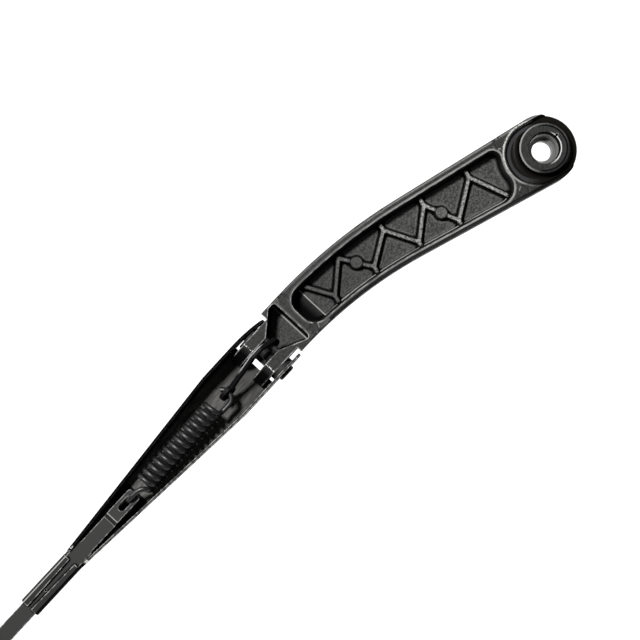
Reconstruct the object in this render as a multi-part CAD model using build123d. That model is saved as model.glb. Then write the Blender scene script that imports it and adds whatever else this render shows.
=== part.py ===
"""Car wiper arm, lying underside up: die-cast head, pressed channel, flat rod and sprung hinge.

Millimetres. The origin is on the spindle axis, in the plane the spindle nut clamps. +Z runs out of
the spindle bore's wide mouth, and +X runs along the channel and the rod towards the blade.
"""
from build123d import *
import os
from math import atan2, cos, degrees, floor, radians, sin, tan

os.makedirs("parts", exist_ok=True)

# Where the hinge lies, from the spindle, along and across the arm
hinge_x = 159.6
arm_axis_y = -31.3

# Spindle end of the head
stud_hole_r = 4.85
stud_hole_length = 4.5
taper_small_r = 6.4
taper_mouth_r = 7.4
boss_r = 11.75
boss_height = 14.2
boss_draft = 0.5
boss_chamfer = 0.5
boss_root_r = 2.4
ledge_height = 8.4
ledge_round = 1.8
end_r = 16.4
collar_shift = 4.1
collar_r = 13.6
collar_flare = 1.4
nut_recess_r = 9.5
nick_width = 0.9
nick_reach = 1.6

# Head casting, plan and section
shoulder_back = 12.3
fork_upper_edge = 13.6
fork_lower_edge = 12.2
upper_angle = 15.5
lower_angle = 18.5
bend_run = 36.0
back_z = -4.0
rim_z = 11.5
back_round = 4.0
rim_round = 0.9

# Ribbed pocket in the head
pocket_floor_z = 3.2
pocket_draft = 9.0
pocket_root_r = 1.0
upper_rim = 3.7
lower_rim = 2.7
boss_rim = 1.5
end_wall = 12.2
pocket_end_round = 7.5
pocket_upper_round = 4.5
pocket_lower_round = 8.0
ramp_run = 8.1
ramp_drop = 4.4
rib_upper_gaps = (33.5, 57.8, 79.5, 103.8)
rib_lower_gaps = (16.8, 39.5, 62.5, 82.9)
rib_upper_foot = 5.5
rib_lower_foot = 4.0
rib_start_gap = 10.1
rib_end_run = 5.9
rib_width = 2.2
rib_height = 2.9
rib_sink = 0.3
pad_ribs = (1, 3)
pad_r = 3.05
pad_rise = 0.3

# Round ejector marks on the rim
mark_r = 2.3
mark_depth = 0.25
mark_edge = 0.6
boss_mark_reach = 21.4
boss_mark_angles = (-54.0, 18.5)

# Hinge between head and channel
hinge_height = 8.0
ear_inner = 4.1
ear_outer = 9.8
ear_drop = 8.3
ear_flat = 3.7
ear_reach = 13.4
ear_tip_drop = 7.2
ear_belly = 3.0
fork_pocket_back = 8.0
fork_pocket_level = 3.9
fork_pocket_upper = 12.6
fork_pocket_lower = 11.2
fork_neck_back = 5.4
fork_pocket_round = 1.5
fork_web = 2.8
fork_web_reach = 5.2
pin_r = 2.5
pin_head_r = 4.2
pin_head_height = 1.6
bush_wall = 0.9
bush_flange_r = 6.2
running_gap = 0.05
press_gap = 0.01
side_gap = 0.2

# Pressed channel
sheet = 1.3
channel_half = 13.3
parallel_length = 28.4
taper_length = 98.0
throat_half = 6.0
channel_rim_z = 11.8
level_rim_length = 16.4
throat_rim_z = 2.4
lobe_r = 10.9
toe_in = 2.2
toe_reach = 7.4
floor_start = 8.0
channel_bend_r = 2.2
throat_length = 6.9
relief_length = 2.6
crimp_length = 30.0
crimp_slit_wide = 3.5
crimp_slit_narrow = 2.2
fold_r = 1.7

# Flat rod
rod_width = 8.0
rod_thick = 3.0
rod_fit = 0.04
tab_width = 7.0
tab_corner_r = 1.2
tab_reach = 91.0
tab_length = 14.4
tab_rise = 4.2
joggle_run = 2.7
joggle_lead = 1.6
slot_land = 2.5
slot_length = 8.4
slot_width = 3.4
stake_back = 11.2
stake_r = 0.5
stake_depth = 0.6
rod_reach = 217.0
hook_inner_r = 4.0
hook_leg = 17.0
hook_tip_r = 1.6

# Spring, link and anchor pin
anchor_back = 4.7
anchor_up = 3.9
anchor_r = 1.4
wire_r = 1.25
coil_r = 4.2
coil_lead = 5.0
coil_pitch = 3.55
coil_start = 40.6
coil_start_angle = 140.0
loop_reach = 30.1
loop_end_angle = 145.0
tail_gap = 1.0
tail_end_angle = -50.0
link_thick = 2.0
link_band = 2.4
link_lean = 18.0
link_leave_angle = 130.0
link_tip_angle = -105.0
link_arch = 7.2
link_arch_end = 9.5
link_bend_r = 3.0
link_hook_gap = 0.65
link_eye_r = 2.1
link_eye_play = 1.6
link_eye_lap = 0.3
link_eye_wall = 1.5

# Worked-out places
shoulder_x = hinge_x - shoulder_back
head_turn = (upper_angle + lower_angle) / 2
collar_place = Pos(collar_shift * cos(radians(head_turn)), -collar_shift * sin(radians(head_turn)))
collar_top_r = collar_r + collar_flare
pocket_end_x = shoulder_x - end_wall
fork_pocket_x = shoulder_x - fork_pocket_back
taper_start_x = hinge_x + parallel_length
taper_end_x = taper_start_x + taper_length
relief_start_x = taper_end_x + throat_length
crimp_start_x = relief_start_x + relief_length
crimp_end_x = crimp_start_x + crimp_length
tab_end_x = hinge_x + tab_reach
hook_x = crimp_end_x + rod_reach
floor_z = back_z + sheet
hinge_z = floor_z + hinge_height
bush_r = pin_r + running_gap + bush_wall
anchor = Vector(hinge_x - anchor_back, arm_axis_y, hinge_z + anchor_up)
slot_x = tab_end_x + slot_land
rod_hook = Vector(slot_x + tail_gap + wire_r, arm_axis_y, floor_z + tab_rise + rod_thick / 2)
tail_reach = (rod_hook - anchor).length
coil_turns = floor((tail_reach - coil_r - coil_lead - coil_start) / coil_pitch)
pull_angle = degrees(atan2(anchor.Z - rod_hook.Z, rod_hook.X - anchor.X))
clear = 4 * (boss_height - back_z)


def across(profile, half):
    """Solid of an X-Z profile drawn on Plane.XZ, centred across the arm's axis."""
    return Pos(0, arm_axis_y, 0) * extrude(profile, amount=half, both=True)


def along_y(radius, low, high, x, z):
    """Round bar across the arm, from low to high, measured from the arm's axis."""
    middle = arm_axis_y + (low + high) / 2
    return Pos(x, middle, z) * Rot(90, 0, 0) * Cylinder(radius, high - low)


def toe(x):
    """How far the channel's left wall has turned inwards at a place near the hinge."""
    return toe_in * ((hinge_x + toe_reach - x) / (toe_reach + lobe_r + sheet)) ** 2


def head_band(upper_inset, lower_inset, end_x):
    """Plan of the head between its two long bent edges, each set in by its own amount."""
    upper_way = Vector(cos(radians(upper_angle)), -sin(radians(upper_angle)))
    lower_way = Vector(cos(radians(lower_angle)), -sin(radians(lower_angle)))
    straight = Vector(1, 0)
    upper_start = Vector(upper_way.Y, -upper_way.X) * (end_r - upper_inset)
    lower_start = Vector(-lower_way.Y, lower_way.X) * (end_r - lower_inset)
    upper_y = arm_axis_y - fork_upper_edge + upper_inset
    lower_y = arm_axis_y + fork_lower_edge - lower_inset
    upper_corner = upper_start + upper_way * ((upper_start.Y - upper_y) / -upper_way.Y)
    lower_corner = lower_start + lower_way * ((lower_start.Y - lower_y) / -lower_way.Y)
    upper_in = upper_corner - upper_way * bend_run
    upper_out = upper_corner + straight * bend_run
    lower_in = lower_corner - lower_way * bend_run
    lower_out = lower_corner + straight * bend_run
    edges = [
        Line(upper_start, upper_in),
        TangentArc(upper_in, upper_out, tangent=upper_way),
        Line(upper_out, (end_x, upper_y)),
        Line((end_x, upper_y), (end_x, lower_y)),
        Line((end_x, lower_y), lower_out),
        TangentArc(lower_out, lower_in, tangent=-straight),
        Line(lower_in, lower_start),
        Line(lower_start, upper_start),
    ]
    return make_face(edges)


def rib_end(x, side):
    """Point of the zigzag just inside a long wall of the pocket: side -1 upper, +1 lower."""
    angle = radians(upper_angle if side < 0 else lower_angle)
    rim = upper_rim if side < 0 else lower_rim
    fork_edge = fork_upper_edge if side < 0 else fork_lower_edge
    slanted = side * (end_r - rim + rib_sink) / cos(angle) - tan(angle) * x
    level = arm_axis_y + side * (fork_edge - rim + rib_sink)
    return Vector(x, max(slanted, level))


def rib_strip(start, end):
    """Straight rib footprint between two points."""
    way = end - start
    middle = (start + end) * 0.5
    turn = degrees(atan2(way.Y, way.X))
    return Pos(middle.X, middle.Y) * Rot(0, 0, turn) * Rectangle(way.length, rib_width)


def cast_block(plan, end_x, top_z, top_round):
    """Block on a plan, rounded along its back and its top, with a square far end."""
    block = extrude(Pos(0, 0, back_z) * plan, amount=top_z - back_z)
    for z, radius in ((back_z, back_round), (top_z, top_round)):
        level = [e for e in block.edges() if abs(e.center().Z - z) < press_gap]
        block = fillet([e for e in level if e.center().X < end_x - press_gap], radius)
    return block


def make_blank():
    """Solid outline of the head: bent body, lower round end in a flared collar, and the fork."""
    plan = head_band(0, 0, shoulder_x) + Circle(end_r)
    body = cast_block(plan, shoulder_x, rim_z, rim_round)
    collar = Circle(collar_r) + Rectangle(clear, 2 * collar_r, align=(Align.MAX, Align.CENTER))
    collar = Pos(0, 0, ledge_height) * collar_place * Rot(0, 0, -head_turn) * collar
    rise = rim_z - ledge_height
    body -= extrude(collar, amount=rise, taper=-degrees(atan2(collar_flare, rise)))
    body -= extrude(collar, amount=-clear)
    end_x = 2 * end_r
    end_plan = plan & Pos(end_x, 0) * Rectangle(2 * clear, 2 * clear, align=(Align.MAX, Align.CENTER))
    body += cast_block(end_plan, end_x, ledge_height, ledge_round)

    low = hinge_z - ear_drop
    ridge = Vector(hinge_x + ear_flat, rim_z)
    tip = Vector(hinge_x + ear_reach, hinge_z - ear_tip_drop)
    way = (tip - ridge).normalized()
    bulge = (ridge + tip) * 0.5 + Vector(-way.Y, way.X) * ear_belly
    ear = make_face([
        Line((shoulder_x - sheet, low), (hinge_x, low)),
        Line((hinge_x, low), tip),
        Edge.make_three_point_arc(tip, bulge, ridge),
        Line(ridge, (shoulder_x - sheet, rim_z)),
        Line((shoulder_x - sheet, rim_z), (shoulder_x - sheet, low)),
    ])
    return body + across(Plane.XZ * ear, ear_outer)


def make_boss():
    """Turned spindle boss: drafted wall, chamfered face, and a rounded root on its ledge."""
    root_r = boss_r + boss_draft
    profile = make_face(Polyline(
        (0, floor_z), (root_r + boss_root_r, floor_z), (root_r + boss_root_r, ledge_height),
        (root_r, ledge_height), (boss_r, boss_height - boss_chamfer),
        (boss_r - boss_chamfer, boss_height), (0, boss_height), close=True))
    root_corner = [v for v in profile.vertices() if abs(v.X - root_r) < press_gap]
    return revolve(Plane.XZ * fillet(root_corner, boss_root_r - press_gap), Axis.Z)


def make_ribs(pocket_plan):
    """Zigzag stiffening ribs with two round pads, standing on the pocket's floor."""
    low_z = pocket_floor_z - ramp_drop
    strips = Sketch()
    pads = Sketch()
    start = rib_end(pocket_end_x - rib_start_gap, -1)
    for k, (upper_gap, lower_gap) in enumerate(zip(rib_upper_gaps, rib_lower_gaps)):
        upper = rib_end(pocket_end_x - upper_gap, -1)
        lower = rib_end(pocket_end_x - lower_gap, 1)
        upper_knee = upper + Vector(0, rib_upper_foot).rotate(Axis.Z, -upper_angle)
        lower_knee = lower - Vector(0, rib_lower_foot).rotate(Axis.Z, -lower_angle)
        strips += rib_strip(upper, upper_knee)
        strips += rib_strip(upper_knee, lower_knee)
        strips += rib_strip(lower_knee, lower)
        strips += rib_strip(start, lower_knee)
        for knee in (upper_knee, lower_knee):
            strips += Pos(knee.X, knee.Y) * Circle(rib_width / 2)
        if k in pad_ribs:
            middle = (start + lower_knee) * 0.5
            pads += Pos(middle.X, middle.Y) * Circle(pad_r)
        start = upper_knee
    strips += rib_strip(start, rib_end(upper.X - rib_end_run, 1))
    ribs = extrude(Pos(0, 0, low_z) * strips, amount=ramp_drop + rib_height)
    ribs += extrude(Pos(0, 0, low_z) * pads, amount=ramp_drop + rib_height + pad_rise)
    inside = extrude(Pos(0, 0, low_z) * offset(pocket_plan, amount=rib_sink), amount=rim_z - low_z)
    return ribs & inside


def make_head():
    """Die-cast head: ribbed shell, spindle boss and the fork that carries the hinge."""
    body = make_blank()
    body += make_boss()

    reach = Pos(pocket_end_x, arm_axis_y) * Rectangle(
        2 * pocket_end_x, clear + pocket_end_x, align=(Align.MAX, Align.CENTER))
    boss_wall = collar_top_r + boss_rim
    boss_middle = Vector(collar_place.position)
    pocket_plan = (head_band(upper_rim, lower_rim, shoulder_x) & reach) - collar_place * Circle(boss_wall)
    upper_corner = pocket_plan.vertices().sort_by(Axis.X)[0]
    pocket_plan = fillet(upper_corner, pocket_upper_round)
    on_wall = [v for v in pocket_plan.vertices()
               if abs((Vector(v) - boss_middle).length - boss_wall) < press_gap]
    lower_corner = max(on_wall, key=lambda v: v.Y)
    pocket_plan = fillet(lower_corner, pocket_lower_round)
    far_end = [v for v in pocket_plan.vertices() if v.X > pocket_end_x - press_gap]
    pocket_plan = fillet(far_end, pocket_end_round)
    depth = rim_z - pocket_floor_z
    pocket = extrude(Pos(0, 0, rim_z) * pocket_plan, amount=-depth, taper=pocket_draft)
    root = [e for e in pocket.edges() if abs(e.center().Z - pocket_floor_z) < press_gap]
    body -= fillet(root, pocket_root_r)
    ramp_x = pocket_end_x - ramp_run
    root_z = pocket_floor_z + pocket_root_r
    ramp = across(Plane.XZ * make_face(Polyline(
        (ramp_x, pocket_floor_z), (ramp_x, root_z), (pocket_end_x, root_z),
        (pocket_end_x, pocket_floor_z - ramp_drop), close=True)), channel_half)
    floor_plan = offset(pocket_plan, amount=-depth * tan(radians(pocket_draft)) - press_gap)
    body -= ramp & extrude(Pos(0, 0, back_z) * floor_plan, amount=rim_z - back_z)
    body += make_ribs(pocket_plan)

    fork_neck_x = hinge_x - fork_neck_back
    slot_end_x = hinge_x + 2 * ear_reach
    fork_plan = Pos(0, arm_axis_y) * make_face(Polyline(
        (fork_pocket_x, -fork_pocket_upper), (fork_pocket_x + fork_pocket_level, -fork_pocket_upper),
        (fork_neck_x, -ear_inner), (slot_end_x, -ear_inner),
        (slot_end_x, ear_inner), (fork_neck_x, ear_inner), (fork_pocket_x, fork_pocket_lower), close=True))
    wide = [v for v in fork_plan.vertices() if v.X < fork_pocket_x + press_gap]
    fork_plan = fillet(wide, fork_pocket_round)
    body -= extrude(Pos(0, 0, back_z + fork_web) * fork_plan, amount=clear)
    body -= Pos(hinge_x + fork_web_reach, arm_axis_y, 0) * Box(
        2 * ear_reach, 2 * ear_inner, clear, align=(Align.MIN, Align.CENTER, Align.CENTER))
    body -= along_y(bush_r + press_gap, -2 * ear_outer, 2 * ear_outer, hinge_x, hinge_z)
    body -= along_y(anchor_r + press_gap, -2 * ear_outer, 2 * ear_outer, anchor.X, anchor.Z)

    mark_x = pocket_end_x - pocket_end_round / 2 + mark_r + mark_edge + rim_round
    upper_mark_y = arm_axis_y - fork_upper_edge + mark_r + mark_edge
    lower_mark_y = arm_axis_y + fork_lower_edge - mark_r - mark_edge
    marks = [Pos(mark_x, upper_mark_y), Pos(mark_x, lower_mark_y)]
    for angle in boss_mark_angles:
        marks.append(Rot(0, 0, angle) * Pos(boss_mark_reach, 0))
    for place in marks:
        body -= place * Pos(0, 0, rim_z - mark_depth) * Cylinder(
            mark_r, clear, align=(Align.CENTER, Align.CENTER, Align.MIN))

    body -= Cylinder(stud_hole_r, clear)
    body -= Pos(0, 0, stud_hole_length) * Cone(
        taper_small_r, taper_mouth_r, boss_height - stud_hole_length,
        align=(Align.CENTER, Align.CENTER, Align.MIN))
    body -= Cylinder(nut_recess_r, clear, align=(Align.CENTER, Align.CENTER, Align.MAX))
    body -= Pos(-taper_mouth_r, 0, boss_height) * Box(2 * nick_reach, nick_width, nick_reach)
    return body


def channel_plan(inset):
    """Plan of the channel: left wall toed in at the hinge, parallel, then tapering to the crimp."""
    half = channel_half - inset
    throat = throat_half - inset
    crimp = rod_width / 2 + rod_fit + sheet - inset
    start = hinge_x - lobe_r - sheet
    toe_start = Vector(hinge_x + toe_reach, -half)
    toe_end = Vector(start, toe(start) - half)
    rest = Polyline(
        toe_start, (taper_start_x, -half), (taper_end_x, -throat), (crimp_start_x, -crimp),
        (crimp_end_x, -crimp), (crimp_end_x, crimp), (crimp_start_x, crimp), (taper_end_x, throat),
        (taper_start_x, half), (start, half), toe_end)
    turn = TangentArc(toe_start, toe_end, tangent=(-1, 0))
    return Pos(0, arm_axis_y) * make_face([*rest.edges(), *turn.edges()])


def make_retainer():
    """Pressed-steel channel: tapered tray, hinge lobes, and flaps crimped over the rod."""
    flap_top = floor_z + rod_thick + rod_fit + sheet
    outer = extrude(Pos(0, 0, back_z) * channel_plan(0), amount=channel_rim_z - back_z)
    back_edges = [e for e in outer.edges() if abs(e.center().Z - back_z) < press_gap]
    outer = fillet([e for e in back_edges if abs(e.center().Y - arm_axis_y) > sheet], channel_bend_r)
    inner = extrude(Pos(0, 0, floor_z) * channel_plan(sheet), amount=clear)
    side = make_face(Polyline(
        (hinge_x, back_z), (crimp_end_x, back_z), (crimp_end_x, flap_top), (relief_start_x, flap_top),
        (taper_end_x, throat_rim_z), (hinge_x + level_rim_length, channel_rim_z),
        (hinge_x, channel_rim_z), close=True))
    lobe = Circle(lobe_r) & Pos(0, (channel_rim_z + back_z) / 2 - hinge_z) * Rectangle(
        2 * lobe_r, channel_rim_z - back_z)
    shell = outer & across(Plane.XZ * (side + Pos(hinge_x, hinge_z) * lobe), 2 * channel_half)
    shell -= inner & Pos(relief_start_x, arm_axis_y, 0) * Box(
        2 * relief_start_x, 4 * channel_half, clear, align=(Align.MAX, Align.CENTER, Align.CENTER))
    floor_start_x = hinge_x + floor_start
    hinge_gap = extrude(Pos(0, 0, back_z) * channel_plan(sheet), amount=clear)
    shell -= hinge_gap & Pos(floor_start_x, arm_axis_y, 0) * Box(
        4 * lobe_r, 4 * channel_half, 2 * clear, align=(Align.MAX, Align.CENTER, Align.CENTER))
    rod_room = rod_width + 2 * rod_fit
    shell -= Pos(relief_start_x, arm_axis_y, floor_z) * Box(
        2 * (crimp_end_x - relief_start_x), rod_room, rod_thick + rod_fit,
        align=(Align.MIN, Align.CENTER, Align.MIN))
    shell -= Pos(relief_start_x, arm_axis_y, floor_z + sheet) * Box(
        relief_length, 4 * channel_half, clear,
        align=(Align.MIN, Align.CENTER, Align.MIN))
    slit = make_face(Polyline(
        (relief_start_x, -crimp_slit_wide / 2), (crimp_end_x + sheet, -crimp_slit_narrow / 2),
        (crimp_end_x + sheet, crimp_slit_narrow / 2), (relief_start_x, crimp_slit_wide / 2), close=True))
    shell -= extrude(Pos(0, arm_axis_y, floor_z + rod_thick) * slit, amount=2 * sheet)
    fold_edges = [e for e in shell.edges().filter_by(Axis.X) if abs(e.center().Z - flap_top) < press_gap
                  and abs(e.center().Y - arm_axis_y) > rod_width / 2]
    shell = fillet(fold_edges, fold_r)
    shell -= along_y(pin_r + press_gap, -2 * channel_half, 2 * channel_half, hinge_x, hinge_z)
    return shell


def make_rod():
    """Flat bar: slotted raised tab inside the channel, straight run, and a hook for the blade."""
    low = floor_z
    top = floor_z + rod_thick
    joggle_x = tab_end_x + tab_length
    bend_x = joggle_x + joggle_run
    outer_r = hook_inner_r + rod_thick
    profile = make_face([
        Line((tab_end_x, low + tab_rise), (joggle_x, low + tab_rise)),
        Line((joggle_x, low + tab_rise), (bend_x, low)),
        Line((bend_x, low), (hook_x, low)),
        TangentArc((hook_x, low), (hook_x, low + 2 * outer_r), tangent=(1, 0)),
        Line((hook_x, low + 2 * outer_r), (hook_x - hook_leg, low + 2 * outer_r)),
        Line((hook_x - hook_leg, low + 2 * outer_r), (hook_x - hook_leg, top + 2 * hook_inner_r)),
        Line((hook_x - hook_leg, top + 2 * hook_inner_r), (hook_x, top + 2 * hook_inner_r)),
        TangentArc((hook_x, top + 2 * hook_inner_r), (hook_x, top), tangent=(1, 0)),
        Line((hook_x, top), (bend_x + joggle_lead, top)),
        Line((bend_x + joggle_lead, top), (joggle_x + joggle_lead, top + tab_rise)),
        Line((joggle_x + joggle_lead, top + tab_rise), (tab_end_x, top + tab_rise)),
        Line((tab_end_x, top + tab_rise), (tab_end_x, low + tab_rise)),
    ])
    bar = across(Plane.XZ * profile, rod_width / 2)
    for side in (-1, 1):
        bar -= Pos(taper_end_x, arm_axis_y + side * rod_width / 2, 0) * Box(
            2 * (taper_end_x - tab_end_x), rod_width - tab_width, clear,
            align=(Align.MAX, Align.CENTER, Align.CENTER))
    tab_corners = [e for e in bar.edges().filter_by(Axis.Z) if e.center().X < tab_end_x + press_gap]
    bar = fillet(tab_corners, tab_corner_r)
    slot = Pos(slot_x + slot_length / 2, arm_axis_y) * SlotOverall(slot_length, slot_width)
    bar -= extrude(Pos(0, 0, back_z) * slot, amount=clear)
    bar -= Pos(crimp_end_x - stake_back, arm_axis_y, top - stake_depth) * Cylinder(
        stake_r, clear, align=(Align.CENTER, Align.CENTER, Align.MIN))
    tip = [e for e in bar.edges().filter_by(Axis.Z)
           if abs(e.center().X - hook_x + hook_leg) < press_gap]
    return fillet(tip, hook_tip_r)


def make_pin():
    """Hinge rivet: domed head on the right wall, shank set flush in the left wall."""
    shank = along_y(pin_r, toe(hinge_x) - channel_half, channel_half, hinge_x, hinge_z)
    head_end = channel_half + pin_head_height
    head = along_y(pin_head_r, channel_half, head_end, hinge_x, hinge_z)
    rims = [e for e in head.edges() if e.center().Y > arm_axis_y + head_end - press_gap]
    return shank + fillet(rims, pin_head_height / 2)


def make_bush(side):
    """Flanged bearing bush in one ear of the fork, its flange filling the gap to the wall."""
    turned_in = toe(hinge_x - bush_flange_r) if side < 0 else 0
    flange_end = channel_half - sheet - side_gap - turned_in
    spans = sorted((side * ear_inner, side * ear_outer))
    flange_spans = sorted((side * ear_outer, side * flange_end))
    bush = along_y(bush_r, spans[0], spans[1], hinge_x, hinge_z)
    bush += along_y(bush_flange_r, flange_spans[0], flange_spans[1], hinge_x, hinge_z)
    return bush - along_y(pin_r + running_gap, -2 * ear_outer, 2 * ear_outer, hinge_x, hinge_z)


def make_anchor_pin():
    """Plain pin across the fork that the link hooks over."""
    return along_y(anchor_r, -ear_outer, ear_outer, anchor.X, anchor.Z)


def on_pull_line(shape, lean=0.0):
    """Place a shape drawn with X along the pull line from the anchor and Z away from the back."""
    return Pos(anchor.X, anchor.Y, anchor.Z) * Rot(0, pull_angle, 0) * Rot(lean, 0, 0) * shape


def make_link():
    """Arched link plate: hooks over the anchor pin, clears the hinge pin, and holds the spring."""
    ring_r = anchor_r + link_hook_gap + link_band / 2
    leave = radians(link_leave_angle)
    tip = radians(link_tip_angle)
    off = Vector(ring_r * cos(leave), ring_r * sin(leave))
    rise_way = Vector(sin(leave), -cos(leave))
    corner = off + rise_way * ((link_arch - off.Y) / rise_way.Y)
    eye_x = loop_reach + link_eye_play / 2 - link_eye_lap
    line = Wire([
        Edge.make_three_point_arc(
            Vector(ring_r * cos(tip), ring_r * sin(tip)), Vector(-ring_r, 0), off),
        *FilletPolyline(off, corner, (link_arch_end, link_arch), (eye_x, 0), radius=link_bend_r).edges(),
    ])
    plate = make_face(offset(line, amount=link_band / 2, side=Side.BOTH).edges())
    eye = SlotCenterToCenter(link_eye_play, 2 * (link_eye_r + link_eye_wall))
    hole = SlotCenterToCenter(link_eye_play, 2 * link_eye_r)
    plate = plate + Pos(eye_x, 0) * eye - Pos(eye_x, 0) * hole
    return on_pull_line(extrude(Plane.XZ * plate, amount=link_thick / 2, both=True), link_lean)


def make_spring():
    """Extension spring: loop through the link's eye, open coils, and a tail hooked in the rod."""
    coil_length = coil_turns * coil_pitch
    coils = Pos(coil_start, 0, 0) * Rot(coil_start_angle, 0, 0) * Rot(0, 90, 0) * Helix(
        coil_pitch, coil_length, coil_r)
    loop_middle = loop_reach + coil_r
    loop_end = radians(loop_end_angle)
    loop = Edge.make_three_point_arc(
        Vector(loop_middle - coil_r * sin(loop_end), coil_r * cos(loop_end), 0),
        Vector(loop_reach, 0, 0), Vector(loop_middle, coil_r, 0))
    shank_end = Vector(coil_start - coil_pitch, coil_r, 0)
    shank = Edge.make_line(Vector(loop_middle, coil_r, 0), shank_end)
    lead_in = Spline(shank_end, coils @ 0, tangents=[(1, 0, 0), coils % 0])
    tail_middle = tail_reach - coil_r
    tail_end = radians(tail_end_angle)
    tail_half = (radians(90) + tail_end) / 2
    tail_start = Vector(tail_middle, 0, coil_r)
    lead_out = Spline(coils @ 1, tail_start, tangents=[coils % 1, (1, 0, 0)])
    tail = Edge.make_three_point_arc(
        tail_start, Vector(tail_middle + coil_r * cos(tail_half), 0, coil_r * sin(tail_half)),
        Vector(tail_middle + coil_r * cos(tail_end), 0, coil_r * sin(tail_end)))
    spring = Part()
    for path in (Wire([loop, shank, *lead_in.edges()]), coils, Wire([*lead_out.edges(), tail])):
        section = Plane(path @ 0, z_dir=path % 0) * Circle(wire_r)
        spring += sweep(section, path=path)
    return on_pull_line(spring)


export_step(make_head(), "parts/arm_head.step")
export_step(make_retainer(), "parts/retainer.step")
export_step(make_rod(), "parts/arm_rod.step")
export_step(make_pin(), "parts/hinge_pin.step")
export_step(make_bush(-1), "parts/hinge_bush_left.step")
export_step(make_bush(1), "parts/hinge_bush_right.step")
export_step(make_anchor_pin(), "parts/anchor_pin.step")
export_step(make_link(), "parts/tension_link.step")
export_step(make_spring(), "parts/tension_spring.step")
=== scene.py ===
"""Car wiper arm seen from its underside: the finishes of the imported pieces, the light and the camera."""
import math

import bpy
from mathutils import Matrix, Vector


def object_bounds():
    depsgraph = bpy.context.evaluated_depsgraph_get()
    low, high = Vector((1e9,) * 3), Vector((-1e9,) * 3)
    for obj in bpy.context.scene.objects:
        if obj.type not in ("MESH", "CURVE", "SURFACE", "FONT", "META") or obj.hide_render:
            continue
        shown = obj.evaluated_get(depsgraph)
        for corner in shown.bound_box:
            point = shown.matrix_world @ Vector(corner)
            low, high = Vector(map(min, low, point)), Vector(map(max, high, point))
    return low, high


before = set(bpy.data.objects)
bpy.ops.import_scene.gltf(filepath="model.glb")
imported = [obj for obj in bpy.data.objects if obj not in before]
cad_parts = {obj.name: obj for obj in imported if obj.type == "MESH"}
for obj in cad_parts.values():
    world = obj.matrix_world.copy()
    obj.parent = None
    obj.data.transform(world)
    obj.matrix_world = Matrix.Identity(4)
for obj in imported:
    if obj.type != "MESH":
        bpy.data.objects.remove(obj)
cad_low, cad_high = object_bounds()

# Head casting
# The bent head is die-cast in aluminium alloy and sprayed satin black. Its pocket floor keeps the die's
# grain, and the spindle bore is left as bare metal. Pale lines of rubbed paint and painted highlight run
# along its edges, and painted shade darkens its creases, its hollows and the faces turned from the lamp.


class Value:
    """One socket of a finish. Arithmetic on it adds Math nodes."""

    def __init__(self, finish, socket):
        self.finish = finish
        self.socket = socket

    def maths(self, operation, first, second):
        return self.finish.node("ShaderNodeMath", {"operation": operation}, {0: first, 1: second})

    def __add__(self, other):
        return self.maths("ADD", self, other)

    def __radd__(self, other):
        return self.maths("ADD", other, self)

    def __sub__(self, other):
        return self.maths("SUBTRACT", self, other)

    def __rsub__(self, other):
        return self.maths("SUBTRACT", other, self)

    def __mul__(self, other):
        return self.maths("MULTIPLY", self, other)

    def __rmul__(self, other):
        return self.maths("MULTIPLY", other, self)

    def __pow__(self, other):
        return self.maths("POWER", self, other)

    def __gt__(self, other):
        return self.maths("GREATER_THAN", self, other)

    def __lt__(self, other):
        return self.maths("LESS_THAN", self, other)

    def run(self, start, end):
        """The start where this value is 0, the end where it is 1."""
        return start + (end - start) * self


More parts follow.
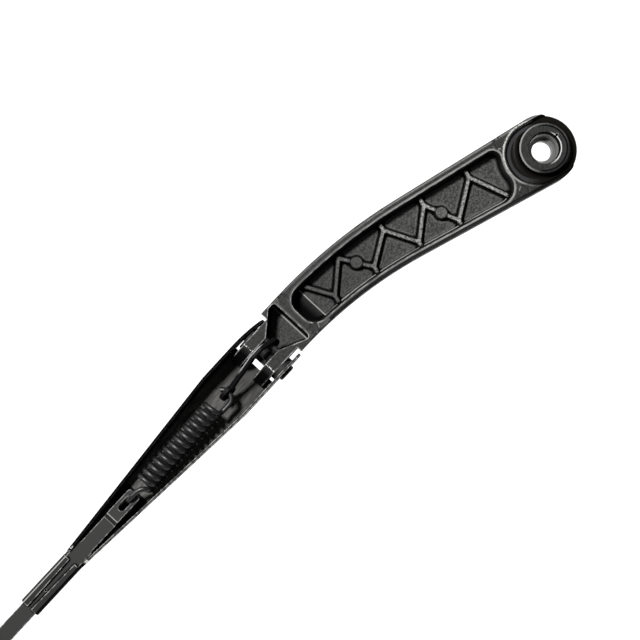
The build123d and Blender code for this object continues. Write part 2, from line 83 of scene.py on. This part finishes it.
class Finish:
    """A procedural material: one Principled shader and the nodes that vary it over the surface."""

    def __init__(self, name, constants):
        self.material = bpy.data.materials.new(name)
        self.material.use_nodes = True
        self.tree = self.material.node_tree
        self.shader = self.tree.nodes["Principled BSDF"]
        for socket, value in constants.items():
            self.shader.inputs[socket].default_value = value

    def node(self, kind, settings, sockets, output=0):
        """Add a node: its settings first, then the values or links of its sockets."""
        made = self.tree.nodes.new(kind)
        for setting, value in settings.items():
            setattr(made, setting, value)
        for socket, value in sockets.items():
            if isinstance(value, Value):
                self.tree.links.new(value.socket, made.inputs[socket])
            else:
                made.inputs[socket].default_value = value
        return Value(self, made.outputs[output])

    def feed(self, socket, value):
        """Drive one socket of the shader."""
        self.tree.links.new(value.socket, self.shader.inputs[socket])

    def place(self):
        """Place on the piece, in metres, at rest."""
        return self.node("ShaderNodeTexCoord", {}, {}, "Object")

    def axis(self, name):
        """One coordinate of the place on the piece."""
        return self.node("ShaderNodeSeparateXYZ", {}, {"Vector": self.place()}, name)

    def facing(self, name):
        """One coordinate of the outward direction on the piece, at rest."""
        normal = self.node("ShaderNodeTexCoord", {}, {}, "Normal")
        return self.node("ShaderNodeSeparateXYZ", {}, {"Vector": normal}, name)

    def noise(self, size, detail=2.0, stretch=1.0):
        """Soft noise around 0.5, in lumps of about the size in metres, drawn out along the arm."""
        drawn = self.node("ShaderNodeVectorMath", {"operation": "MULTIPLY"}, {
            0: self.place(), 1: (1 / stretch, 1, 1)})
        return self.node("ShaderNodeTexNoise", {}, {
            "Vector": drawn, "Scale": 1 / size, "Detail": detail})

    def step(self, value, low, high):
        """0 below low, 1 above high, smooth between them."""
        return self.node("ShaderNodeMapRange", {"interpolation_type": "SMOOTHSTEP"}, {
            "Value": value, "From Min": low, "From Max": high})

    def between(self, value, low, high, fade):
        """1 from low to high, fading to 0 outside them."""
        return self.step(value, low - fade, low) * (1 - self.step(value, high, high + fade))

    def patches(self, size, low, high, detail=2.0):
        """1 in patches of about the size, where the noise passes from low to high, and 0 elsewhere."""
        return self.step(self.noise(size, detail), low, high)

    def mix(self, share, first, second):
        """Colour between two colours."""
        return self.node("ShaderNodeMix", {"data_type": "RGBA"}, {
            "Factor": share, 6: first, 7: second}, 2)

    def paint(self, base, coats):
        """Base colour under coats, each a share of the surface and a colour, the last one on top."""
        colour = base
        for share, coat in coats:
            colour = self.mix(share, colour, coat)
        self.feed("Base Color", colour)

    def hollows(self, width, own=True):
        """1 deep in a corner of its own faces, or also with a neighbour's, fading over the width."""
        open_share = self.node("ShaderNodeAmbientOcclusion", {"samples": 8, "only_local": own}, {
            "Distance": width}, "AO")
        return 1 - open_share

    def ridges(self, width):
        """About 0.5 on a square outward edge, fading to 0 over the width."""
        solid_share = self.node(
            "ShaderNodeAmbientOcclusion", {"samples": 8, "only_local": True, "inside": True},
            {"Distance": width}, "AO")
        return 1 - solid_share

    def edges(self, width):
        """1 along the outward edges, fading to 0 over the width."""
        return self.step(self.ridges(width), low=0.06, high=0.3)

    def wear_and_highlight(self, width, patch):
        """1 along the outward edges in patches of about a size, for rubbed paint and painted highlight."""
        return self.edges(width) * self.patches(patch, low=0.38, high=0.62, detail=3).run(0.15, 1)

    def bumps(self, height, depth, edge_width):
        """Surface relief of the depth in metres, over edges rounded by the width."""
        rounded = self.node("ShaderNodeBevel", {"samples": 6}, {"Radius": edge_width})
        relief = self.node("ShaderNodeBump", {}, {
            "Strength": 1.0, "Distance": depth, "Height": height, "Normal": rounded})
        self.feed("Normal", relief)


def dress(node, finish):
    """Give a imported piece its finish."""
    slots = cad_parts[node].data.materials
    slots.clear()
    slots.append(finish.material)


cast_black = (0.056, 0.0555, 0.0545, 1)
cast_shade = (0.002, 0.002, 0.002, 1)
cast_grain = (0.145, 0.145, 0.14, 1)
cast_rib_sheen = (0.58, 0.577, 0.565, 1)
# Pale grey for rubbed edges and for painted highlights.
cast_wear_and_highlight = (0.55, 0.55, 0.54, 1)
pale_highlight_grey = (0.75, 0.75, 0.72, 1)
glint_white = (0.95, 0.95, 0.94, 1)
soft_fade = 0.0003
sharp_fade = 0.0001
picture_left = (0.68, -0.73)
picture_low = (0.73, 0.68)
cast = Finish("cast_satin_black", {"Specular IOR Level": 0.1})
grain = cast.noise(size=0.0007, detail=3)
mottle = cast.noise(size=0.004, detail=3)
along = cast.axis("X")
across = cast.axis("Y")
height = cast.axis("Z")
upward = cast.step(cast.facing("Z"), low=0.9, high=0.98)
steep = 1 - cast.step(cast.facing("Z"), low=0.4, high=0.7)
near_boss = 1 - cast.step(along, low=0.05, high=0.12)
toward_left = picture_left[0] * along + picture_left[1] * across
toward_low = picture_low[0] * along + picture_low[1] * across


def plan_distance(x, y):
    """Distance on the head from a place, seen from above."""
    return ((along - x) ** 2 + (across - y) ** 2) ** 0.5


# The spindle boss has a bare bore, and stands on a ledge inside a flared collar. Painted shade darkens the
# ledge, a ring near the edge of the boss face and the top of the bore, and painted highlights lie on the
# collar's edge, the boss chamfer and the bore's mouth. The bore's wall that the lamp misses is painted
# pale as reflected light.
bore_grey = (0.24, 0.24, 0.236, 1)
bore_painted_light = (0.8, 0.8, 0.79, 1)
ledge_shade_brown = (0.009, 0.008, 0.0065, 1)
ledge_lit_grey = (0.055, 0.055, 0.058, 1)
bore_radius = 0.0076
bore_low_z = -0.0002
bore_mouth_z = 0.0108
mouth_band = (0.0066, 0.0084)
mouth_line = (0.0075, 0.0081)
boss_line = (0.0112, 0.0119)
boss_shade_ring = (0.0103, 0.0110)
boss_face_z = 0.0136
ledge_radius = 0.0172
ledge_heights = (0.006, 0.0096)
ledge_line = (0.0119, 0.0136)
collar_middle = (0.0039, -0.0013)
collar_line = (0.0139, 0.0157)
arm_side = cast.step(toward_left, low=0.0, high=0.009)
car_side = 1 - cast.step(toward_left, low=-0.006, high=-0.002)
from_spindle = plan_distance(0, 0)
from_collar = plan_distance(*collar_middle)
bare = (from_spindle < bore_radius) * (height > bore_low_z)
# The bore is bare grey metal; its wall on the picture's left, which the lamp misses, is painted pale as
# reflected light.
bore = cast.mix(cast.step(toward_left, low=-0.002, high=0.005), bore_grey, bore_painted_light)
# Painted shade on the top of the bore's wall, just inside its mouth.
mouth_shade_ring = bare * (height > bore_mouth_z)
near_mouth = cast.between(from_spindle, *mouth_band, sharp_fade)
# A painted highlight just outside the bore's mouth, on the side away from the arm.
mouth_highlight = cast.between(from_spindle, *mouth_line, sharp_fade) * (height > boss_face_z) * car_side
# A painted highlight on the boss chamfer, on the arm's side toward the lamp.
boss_chamfer_highlight = cast.between(from_spindle, *boss_line, sharp_fade) * (height > boss_face_z) * arm_side
# A ring of painted shade near the edge of the boss face, on the side away from the arm.
boss_edge_shade = cast.between(from_spindle, *boss_shade_ring, sharp_fade) * (height > boss_face_z - soft_fade)
boss_edge_shade = boss_edge_shade * (1 - cast.step(toward_left, low=0.0, high=0.004))
# The ledge round the boss is painted near black as shade.
ledge = (from_spindle < ledge_radius) * cast.between(height, *ledge_heights, soft_fade) * (1 - bare)
# The ledge's outer ring on the arm's side is painted lighter, as the light that reaches it.
ledge_lit_ring = ledge * cast.between(from_collar, *ledge_line, soft_fade) * arm_side
# A painted highlight band in streaks along the collar's top edge on the arm's side, fading toward the low
# side.
collar_highlight = cast.between(from_collar, *collar_line, sharp_fade) * (height > ledge_heights[1])
collar_highlight = collar_highlight * arm_side * cast.patches(size=0.0008, low=0.35, high=0.55)
collar_highlight = collar_highlight * cast.step(toward_low, low=0.008, high=0.014).run(1, 0.2)

# The rim carries four round ejector marks, and painted shade darkens its lower side along the outer edge.
rim_heights = (0.0108, 0.0118)
dark_edge = (0.0006, 0.0017)
dark_edge_z = 0.0098
lower_edge_turn = math.radians(18.5)
lower_edge_reach = 0.0164
bend_start = 0.0746
bend_middle = (0.1447, 0.2019)
bend_radius = 0.221
mark_places = ((0.0126, -0.0173), (0.0203, 0.0068), (0.1351, -0.0422), (0.1351, -0.022))
mark_reach = 0.0032
ramp_start = 0.127
fork_start = 0.1393
rim_tops = upward * cast.between(height, *rim_heights, soft_fade)
on_marks = 0.0
for mark_place in mark_places:
    on_marks = on_marks + (plan_distance(*mark_place) < mark_reach)
sound = 1 - on_marks * (1 - cast.patches(size=0.0025, low=0.55, high=0.6))
boss_low_side = cast.step(across, low=0.003, high=0.008) * (1 - cast.step(along, low=0.016, high=0.026))
sound = sound * (1 - boss_low_side)
# Painted highlight lines along the rim's edges, weaker toward the fork and broken on the ejector marks.
rim_highlight_lines = rim_tops * cast.between(cast.ridges(width=0.0013), low=0.1, high=0.24, fade=0.04)
rim_highlight_lines = rim_highlight_lines * (along < fork_start) * sound
straight_gap = lower_edge_reach - math.sin(lower_edge_turn) * along - math.cos(lower_edge_turn) * across
bend_gap = plan_distance(*bend_middle) - bend_radius
lower_gap = straight_gap + (along > bend_start) * (bend_gap - straight_gap)
# Painted shade along the outer edge of the rim's lower side, which turns from the lamp.
lower_edge_shade = cast.between(lower_gap, *dark_edge, soft_fade) * (height > dark_edge_z)
lower_edge_shade = lower_edge_shade * (along < ramp_start)

# The pocket has a grained floor with zigzag ribs and two round pads, and a ramp down to its end.
floor_heights = (0.0028, 0.0035)
root_heights = (0.0034, 0.0042)
root_gap = 0.0055
rib_heights = (0.0059, 0.0067)
pad_low_z = 0.00625
ramp_end = 0.14
ramp_sheen = 0.005
pocket_floor = upward * cast.between(height, *floor_heights, soft_fade) * (along < ramp_start)
floor_grain = cast.step(grain, low=0.4, high=0.66) * cast.step(along, low=0.06, high=0.11).run(1, 0.45)
rib_tops = upward * cast.between(height, *rib_heights, soft_fade)
# A dark line of painted shade along the edges of the rib tops.
rib_edge_shade = rib_tops * cast.step(cast.ridges(width=0.0009), low=0.1, high=0.3)
# The rib tops get a painted sheen: grainy, strongest near the boss and weaker on the pads.
rib_top_sheen = rib_tops * near_boss.run(0.16, 1) * (height > pad_low_z).run(1, 0.3)
rib_top_sheen = rib_top_sheen * cast.step(grain, low=0.3, high=0.65)
# Painted shade on the ramp, which turns from the lamp; it thins near the top edge to leave a painted
# sheen.
ramp_shade = (height < floor_heights[0]) * cast.between(along, ramp_start, ramp_end, sharp_fade)
ramp_shade = ramp_shade * cast.step(along, ramp_start, ramp_start + ramp_sheen).run(0.3, 1)
# A painted highlight line along the ridge where the pocket floor meets the ramp.
ramp_ridge_highlight = cast.between(along, ramp_start - soft_fade, ramp_start, sharp_fade)
ramp_ridge_highlight = ramp_ridge_highlight * cast.between(height, *floor_heights, sharp_fade)
# A painted highlight, in patches, along the foot of the pocket's lower wall.
root_highlight = cast.between(height, *root_heights, sharp_fade) * (1 - steep) * (along < ramp_start)
root_highlight = root_highlight * cast.step(-1 * cast.facing("Y"), low=0.2, high=0.5) * (lower_gap < root_gap)
root_highlight = root_highlight * cast.patches(size=0.02, low=0.3, high=0.5)
crease = cast.hollows(width=0.0022)
# Painted shade in the creases and corners, kept off the rim tops.
crease_shade = cast.step(crease, low=0.16, high=0.25) * (1 - rim_tops)
# A painted highlight line on the floor just outside the painted shade of the creases.
crease_highlight_line = pocket_floor * cast.between(crease, low=0.08, high=0.12, fade=0.02)
# Painted shade on the steep walls deep in the pocket's hollows.
deep_wall_shade = steep * cast.step(cast.hollows(width=0.01), low=0.12, high=0.3)

# The fork's two ears fall away to noses darkened by painted shade, with painted glints along their ridge,
# and next to the step across the floor between them lies a band of painted shade edged by a painted
# highlight.
ear_ridge = 0.1633
nose_length = 0.004
fork_band = 0.0015
fork_line = 0.0006
band_end = fork_start + fork_band
# Painted shade on the ear noses, deepening down them.
ear_nose_shade = cast.step(along, ear_ridge, ear_ridge + sharp_fade)
ear_nose_shade = ear_nose_shade * cast.step(along, ear_ridge, ear_ridge + nose_length).run(0.35, 1)
# Painted glints in specks along the ears' ridge.
ear_ridge_glints = rim_tops * cast.between(along, ear_ridge - 2 * soft_fade, ear_ridge, sharp_fade)
ear_ridge_glints = ear_ridge_glints * cast.patches(size=0.0009, low=0.48, high=0.54)
fork_floor = upward * (height < floor_heights[0]) * (along > fork_start)
# A band of painted shade on the fork's floor next to the step.
fork_foot_shade = fork_floor * (along < band_end)
# A painted highlight line on the fork's floor beyond the band of painted shade.
fork_foot_highlight = fork_floor * cast.between(along, band_end, band_end + fork_line, sharp_fade)

# The coats go on from the first to the last, some of them thin.
blotch_share = 0.4
lower_edge_shade_share = 0.9
foot_highlight_share = 0.6
root_highlight_share = 0.9
boss_highlight_share = 0.7
bore_metal = 0.3
crease_dullness = 0.5
blotches = cast.patches(size=0.0012, low=0.45, high=0.65, detail=4)
# Pale lines along the edges: rubbed paint and painted highlight together.
edge_wear_and_highlight = cast.wear_and_highlight(width=0.0007, patch=0.004) * (1 - near_mouth) * (1 - rib_tops) * sound
cast.paint(cast_black, [
    (blotch_share * blotches, cast_shade),
    (rib_top_sheen, cast_rib_sheen),
    ((pocket_floor + fork_floor) * floor_grain, cast_grain),
    (crease_highlight_line * near_boss.run(0.06, 0.22), cast_wear_and_highlight),
    (rim_highlight_lines * near_boss.run(0.2, 0.7), cast_wear_and_highlight),
    (ear_nose_shade, cast_shade),
    (crease_shade, cast_shade),
    (deep_wall_shade, cast_shade),
    (rib_edge_shade, cast_shade),
    (edge_wear_and_highlight, cast_wear_and_highlight),
    (lower_edge_shade_share * lower_edge_shade, cast_shade),
    (ledge, ledge_shade_brown),
    (ledge_lit_ring, ledge_lit_grey),
    (ramp_shade + fork_foot_shade, cast_shade),
    (foot_highlight_share * fork_foot_highlight, cast_wear_and_highlight),
    (root_highlight_share * root_highlight, cast_wear_and_highlight),
    (ear_ridge_glints, glint_white),
    (boss_highlight_share * boss_chamfer_highlight, cast_wear_and_highlight),
    (boss_edge_shade, cast_shade),
    (mouth_highlight, glint_white),
    (ramp_ridge_highlight, cast_wear_and_highlight),
    (collar_highlight, pale_highlight_grey),
    (bare, bore),
    (mouth_shade_ring, cast_shade),
])
cast.feed("Metallic", bore_metal * bare)
cast.feed("Roughness", mottle.run(0.38, 0.54) + crease_dullness * (crease_shade + mouth_shade_ring))
cast.bumps(grain * pocket_floor.run(0.35, 1), depth=0.0002, edge_width=0.0004)
dress("arm_head", cast)

# Hinge bushes
# Two flanged bearing bushes are moulded in dark plastic and pressed into the ears of the fork. Only
# their flanges show, in the gaps between the ears and the channel's walls.
bush_dark = (0.03, 0.03, 0.03, 1)
bush = Finish("bush_plastic", {"Base Color": bush_dark, "IOR": 1.46})
bush.feed("Roughness", bush.noise(size=0.0008).run(0.45, 0.65))
dress("hinge_bush_left", bush)
dress("hinge_bush_right", bush)

# Anchor pin
# A ground steel pin is pressed across the fork and painted over with it. The tension link hooks over it.
pin_black = (0.03, 0.03, 0.031, 1)
anchor_pin = Finish("pin_satin_black", {"Base Color": pin_black, "IOR": 1.5})
anchor_pin.feed("Roughness", anchor_pin.noise(size=0.0006).run(0.24, 0.44))
dress("anchor_pin", anchor_pin)

# Channel
# The tapered channel is pressed from steel sheet, folded round the rod at its end, and painted satin
# black. Its floor is painted paler and a little brown, in streaks drawn out along the arm and less near
# the hinge. Along the cut edges of the walls lie pale lines of rubbed paint and painted highlight, and
# painted shade and shadow darken its walls, creases and floor around the spring and rod.
sheet_black = (0.042, 0.0415, 0.041, 1)
sheet_floor_pale = (0.2, 0.196, 0.186, 1)
sheet_wear_highlight_grey = (0.55, 0.55, 0.54, 1)
channel_middle = -0.0313
channel_floor = (-0.0031, -0.0024)
crimp_start = 0.292
fold_line = (-0.0355, -0.0351)
dark_fold = -0.0275
spring_run = (0.1965, 0.243)
spring_half = 0.0036
rod_start = 0.2505
glint_run = (0.2895, 0.2912)
spring_shade = 0.9
away_dullness = 0.35
sheet = Finish("sheet_satin_black", {"Specular IOR Level": 0.1})
sheet_up = sheet.step(sheet.facing("Z"), low=0.9, high=0.98)
sheet_turn = sheet.facing("Y")
sheet_along = sheet.axis("X")
sheet_across = sheet.axis("Y")
crimped = sheet_along > crimp_start
lit_side = sheet_across > channel_middle
far_side = 1 - lit_side
channel_floor_top = sheet_up * sheet.between(sheet.axis("Z"), *channel_floor, soft_fade)
streaks = sheet.step(sheet.noise(size=0.0015, detail=4, stretch=4), low=0.35, high=0.65)
floor_streaks = channel_floor_top * sheet.step(sheet_along, low=0.175, high=0.205).run(0.4, 1) * streaks.run(0.4, 1)
inside_lit = lit_side * sheet.step(-1 * sheet_turn, low=0.2, high=0.5)
inside_far = far_side * sheet.step(sheet_turn, low=0.2, high=0.5)
far_rim = far_side * sheet_up * (1 - channel_floor_top)
# Painted shade on the walls' inner faces and on the far wall's rim.
away = (inside_lit + inside_far + far_rim) * (1 - crimped)
# The painted shadow of the spring on the channel's floor.
floor_spring_shadow = channel_floor_top * sheet.between(sheet_along, *spring_run, soft_fade) * sheet.between(
    sheet_across, channel_middle - spring_half, channel_middle + spring_half, soft_fade)
# Painted shade on the floor beside the rod's tab.
beside_rod_shade = channel_floor_top * (sheet_along > rod_start)
# Painted shade in the creases, also where the channel meets the rod and spring.
sheet_crease_shade = sheet.step(sheet.hollows(width=0.0016, own=False), low=0.12, high=0.4)
# Pale lines of rubbed paint and painted highlight along the edges, mostly on the lit wall and the flaps.
sheet_wear_and_highlight = sheet.wear_and_highlight(width=0.0006, patch=0.002) * (lit_side + crimped * far_side).run(0.04, 1)
# A painted highlight line along the left flap's fold.
folded = sheet.between(sheet_across, *fold_line, sharp_fade) * crimped
glints = sheet.between(sheet_along, *glint_run, sharp_fade) * (1 - channel_floor_top)
glints = glints * sheet.patches(size=0.002, low=0.4, high=0.5)
# Painted shade on the right flap where its fold turns down from the lamp.
turned_down_shade = sheet.step(sheet_across, dark_fold - soft_fade, dark_fold + soft_fade) * crimped
sheet.paint(sheet_black, [
    (floor_streaks, sheet_floor_pale),
    (away + spring_shade * floor_spring_shadow + beside_rod_shade, cast_shade),
    (sheet_crease_shade, cast_shade),
    (sheet_wear_and_highlight, sheet_wear_highlight_grey),
    (folded, sheet_wear_highlight_grey),
    (glints, pale_highlight_grey),
    (turned_down_shade, cast_shade),
])
sheet.feed("Roughness", sheet.noise(size=0.003, detail=3).run(0.4, 0.6) + away_dullness * away)
sheet.bumps(sheet.noise(size=0.0007, detail=3), depth=0.0001, edge_width=0.0003)
dress("retainer", sheet)

# Rod
# The flat bar is cold-drawn steel, pierced and set up into a tab at the spring's end and bent to a hook
# at the blade's end, then painted with the channel after the flaps are crimped over it. Pale lines of
# rubbed paint and painted highlight run along its edges, and painted highlights mark the steps of its tab.
rod_black = (0.062, 0.062, 0.061, 1)
rod_wear_highlight_grey = (0.45, 0.45, 0.44, 1)
tab_step = (0.2662, 0.2667)
run_step = (0.2692, 0.2696)
run_step_share = 0.5
rod = Finish("rod_satin_black", {"Specular IOR Level": 0.1})
rod_along = rod.axis("X")
# Painted shade on the rod where the flaps and walls close over it.
rod_crease_shade = rod.step(rod.hollows(width=0.0014, own=False), low=0.06, high=0.26)
# Painted highlight lines on the steps of the tab.
step_highlights = rod.between(rod_along, *tab_step, sharp_fade)
step_highlights = step_highlights + run_step_share * rod.between(rod_along, *run_step, sharp_fade)
rod.paint(rod_black, [
    (rod_crease_shade, cast_shade),
    (rod.wear_and_highlight(width=0.0006, patch=0.002), rod_wear_highlight_grey),
    (step_highlights, rod_wear_highlight_grey),
])
rod.feed("Roughness", rod.noise(size=0.003, detail=3).run(0.38, 0.58))
rod.bumps(rod.noise(size=0.0006), depth=0.00003, edge_width=0.0003)
dress("arm_rod", rod)

# Hinge rivet
# A steel rivet carries the hinge. Its head and its set tail are painted over with the channel.
rivet_black = (0.03, 0.03, 0.03, 1)
rivet = Finish("rivet_satin_black", {"Base Color": rivet_black, "Specular IOR Level": 0.18})
rivet.feed("Roughness", rivet.noise(size=0.001).run(0.36, 0.56))
rivet.bumps(rivet.noise(size=0.0005), depth=0.00003, edge_width=0.0003)
dress("hinge_pin", rivet)

# Tension link
# The arched link is stamped from steel plate and coated gloss black. It hooks over the anchor pin at
# one end, and the spring's loop passes through the eye at the other.
gloss_black = (0.008, 0.008, 0.009, 1)
link_highlight_grey = (0.6, 0.6, 0.6, 1)
link_middle_z = 0.0086
link_lean = (0.95, 0.31)
link_left = -0.0003
link_shine = (0.16, 0.172)
link = Finish("link_gloss_black", {"Specular IOR Level": 0.08})
link_side = (link.axis("Y") - channel_middle) * link_lean[0]
link_side = link_side + (link.axis("Z") - link_middle_z) * link_lean[1]
# A painted highlight along the link's edges on the side toward the lamp, over its middle.
link_edge_highlight = link.edges(width=0.0008) * (link_side < link_left)
link_edge_highlight = link_edge_highlight * link.between(link.axis("X"), *link_shine, fade=0.004)
link.paint(gloss_black, [(link_edge_highlight, link_highlight_grey)])
link.feed("Roughness", link.noise(size=0.001).run(0.36, 0.48))
link.bumps(link.noise(size=0.0008), depth=0.00002, edge_width=0.0004)
dress("tension_link", link)

# Tension spring
# The extension spring is wound cold from round steel wire and coated gloss black. One end is a loop in
# the link's eye and the other is a tail hooked through the slot in the rod.
wire = Finish("spring_gloss_black", {"Base Color": gloss_black, "IOR": 1.9})
wire.feed("Roughness", wire.noise(size=0.001).run(0.42, 0.52))
dress("tension_spring", wire)

# Floor
# A plain white sheet lies so far below the arm that the lifted rod clears it and no shadow edge shows.
# Its far borders are turned up, so that a low view sees no room above it.
floor_paper = (0.8, 0.8, 0.8, 1)
floor_unlit = (0, 0, 0, 1)
floor_shown = (0.97, 0.97, 0.97, 1)
floor_drop = 0.5
floor_half = 12.0
border_half = 60.0
border_rise = 8.0
floor_z = cad_low.z - floor_drop
squares = [(floor_half, floor_z), (border_half, floor_z + border_rise)]
signs = [(-1, -1), (1, -1), (1, 1), (-1, 1)]
floor_points = [(x * half, y * half, z) for half, z in squares for x, y in signs]
floor_faces = [(0, 1, 2, 3)]
for corner in range(4):
    after = (corner + 1) % 4
    floor_faces.append((4 + corner, 4 + after, after, corner))
floor_mesh = bpy.data.meshes.new("floor")
floor_mesh.from_pydata(floor_points, [], floor_faces)
floor = bpy.data.objects.new("floor", floor_mesh)
bpy.context.scene.collection.objects.link(floor)
white = Finish("floor_white", {"Base Color": floor_paper, "Roughness": 0.9, "Emission Strength": 1.0})
seen = white.node("ShaderNodeLightPath", {}, {}, "Is Camera Ray")
mirrored = white.node("ShaderNodeLightPath", {}, {}, "Is Glossy Ray")
passed = white.node("ShaderNodeLightPath", {}, {}, "Is Transmission Ray")
shown = white.node("ShaderNodeClamp", {}, {"Value": seen + mirrored + passed})
white.feed("Emission Color", white.mix(shown, floor_unlit, floor_shown))
floor_mesh.materials.append(white.material)

# Light
# One soft lamp stands high above the picture's upper left, and a dim pale room fills the shadows.
aim = Vector((0.13, -0.0225, 0.0))
picture_turn = math.radians(132.8)
picture_right = Vector((math.cos(picture_turn), math.sin(picture_turn), 0))
picture_up = Vector((-math.sin(picture_turn), math.cos(picture_turn), 0))
lamp_up = 0.36
lamp_left = 0.43
lamp_above = Vector((0, 0, 1.1))
lamp_distance = 0.9
lamp_way = (lamp_up * picture_up - lamp_left * picture_right + lamp_above).normalized()
lamp = bpy.data.lights.new("key_lamp", "AREA")
lamp.size = 0.12
lamp.energy = 7.5
lamp_holder = bpy.data.objects.new("key_lamp", lamp)
lamp_holder.location = aim + lamp_way * lamp_distance
lamp_holder.rotation_euler = lamp_way.to_track_quat("Z", "Y").to_euler()
bpy.context.scene.collection.objects.link(lamp_holder)
room = bpy.data.worlds.new("room")
room.use_nodes = True
room_light = room.node_tree.nodes["Background"]
room_light.inputs["Color"].default_value = (1, 1, 1, 1)
room_light.inputs["Strength"].default_value = 0.06
bpy.context.scene.world = room
bpy.context.scene.view_settings.view_transform = "Standard"

# Camera
# It looks straight down on the underside, from the distance and turn of the photograph. The photograph
# is cut from a larger frame, so its middle is shifted away from the camera's foot.
camera_foot = (0.1423, -0.0007)
rim_height = 0.0115
camera_distance = 0.65
view_width = 0.3008
camera_data = bpy.data.cameras.new("camera")
camera_data.sensor_width = 36.0
camera_data.lens = camera_data.sensor_width * camera_distance / view_width
camera_data.shift_x = -0.0266
camera_data.shift_y = 0.078
camera = bpy.data.objects.new("camera", camera_data)
camera.location = (*camera_foot, rim_height + camera_distance)
camera.rotation_euler = (0, 0, picture_turn)
bpy.context.scene.collection.objects.link(camera)
bpy.context.scene.camera = camera
